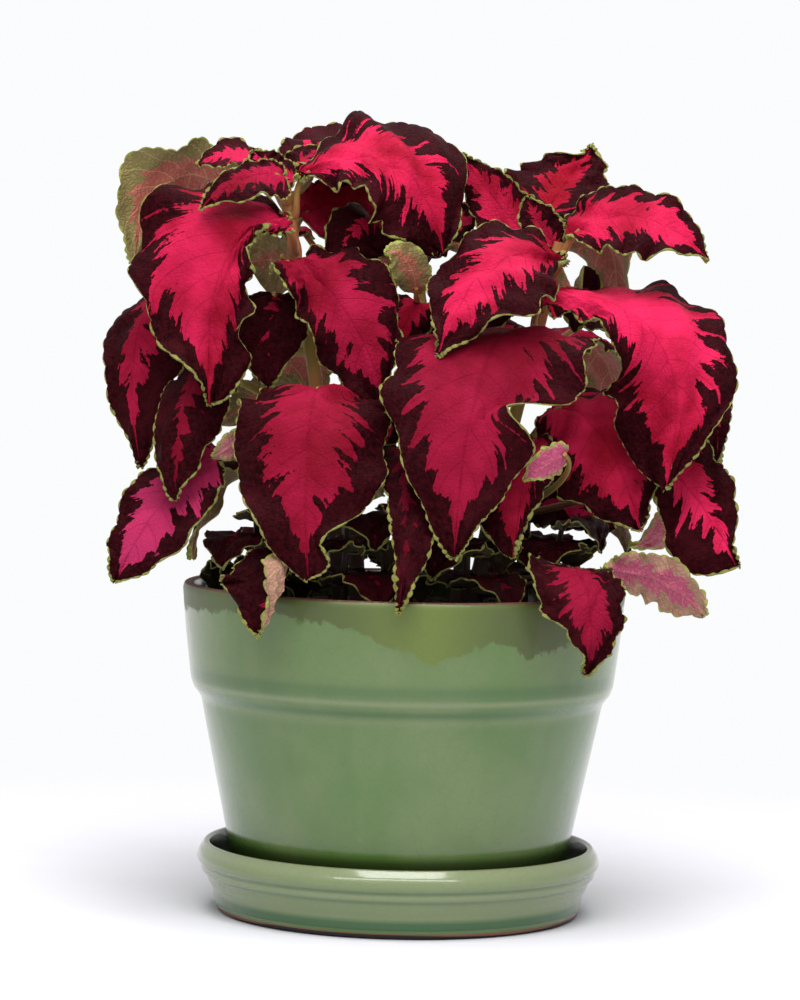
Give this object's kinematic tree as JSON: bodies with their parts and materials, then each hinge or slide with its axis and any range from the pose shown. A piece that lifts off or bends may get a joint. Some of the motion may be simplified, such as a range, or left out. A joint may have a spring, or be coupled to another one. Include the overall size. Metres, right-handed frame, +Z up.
{
  "type": "potted coleus plant",
  "caption": "Coleus with crimson, maroon-banded, lime-edged scalloped leaves in a glossy sage-green glazed pot on a matching saucer.",
  "frame": {"origin": "centre of the saucer's flat underside, on the pot's axis, which is the floor the plant stands on", "axes": "+Z up along the pot's axis, -Y towards the plant's best side, +X to that side's right"},
  "size_m": [0.2565, 0.2058, 0.3234],
  "materials": {
    "leaf": "satin",
    "young_leaf": "satin",
    "stem": "satin",
    "soil": "matte",
    "glaze": "gloss"
  },
  "bodies": {
    "root": {"leaf_back_low_1": "leaf", "leaf_back_low_2": "leaf", "leaf_back_low_3": "leaf", "leaf_back_low_4": "leaf", "leaf_back_mid_1": "leaf", "leaf_back_mid_2": "leaf", "leaf_back_mid_3": "leaf", "leaf_back_mid_4": "leaf", "leaf_back_top_1": "leaf", "leaf_back_top_2": "leaf", "leaf_back_top_3": "leaf", "leaf_centre_back": "leaf", "leaf_centre_big": "leaf", "leaf_inner_dark": "leaf", "leaf_inner_mauve": "leaf", "leaf_inner_red": "leaf", "leaf_left_behind": "leaf", "leaf_left_big": "leaf", "leaf_left_dark": "leaf", "leaf_left_lilac": "leaf", "leaf_left_low": "leaf", "leaf_left_mauve": "leaf", "leaf_left_mid": "leaf", "leaf_left_outer": "leaf", "leaf_left_small": "leaf", "leaf_low_red": "leaf", "leaf_olive": "leaf", "leaf_right_back": "leaf", "leaf_right_big": "leaf", "leaf_right_edge": "leaf", "leaf_right_front": "leaf", "leaf_right_low": "leaf", "leaf_right_magenta": "leaf", "leaf_right_mid": "leaf", "leaf_right_outer": "leaf", "leaf_right_pale": "leaf", "leaf_right_top": "leaf", "leaf_right_young": "leaf", "leaf_rim_left": "leaf", "leaf_rim_outer": "leaf", "leaf_rim_right": "leaf", "leaf_top_big": "leaf", "leaf_top_dark": "leaf", "leaf_top_pink": "leaf", "pot": "glaze", "saucer": "glaze", "shoot_back": "young_leaf", "shoot_back_left": "young_leaf", "shoot_back_right": "young_leaf", "shoot_front_left": "young_leaf", "shoot_front_right": "young_leaf", "shoot_left": "young_leaf", "shoot_right": "young_leaf", "soil": "soil", "stem_back_left": "stem", "stem_back_right": "stem", "stem_centre": "stem", "stem_left": "stem", "stem_right": "stem"}
  },
  "joints": []
}
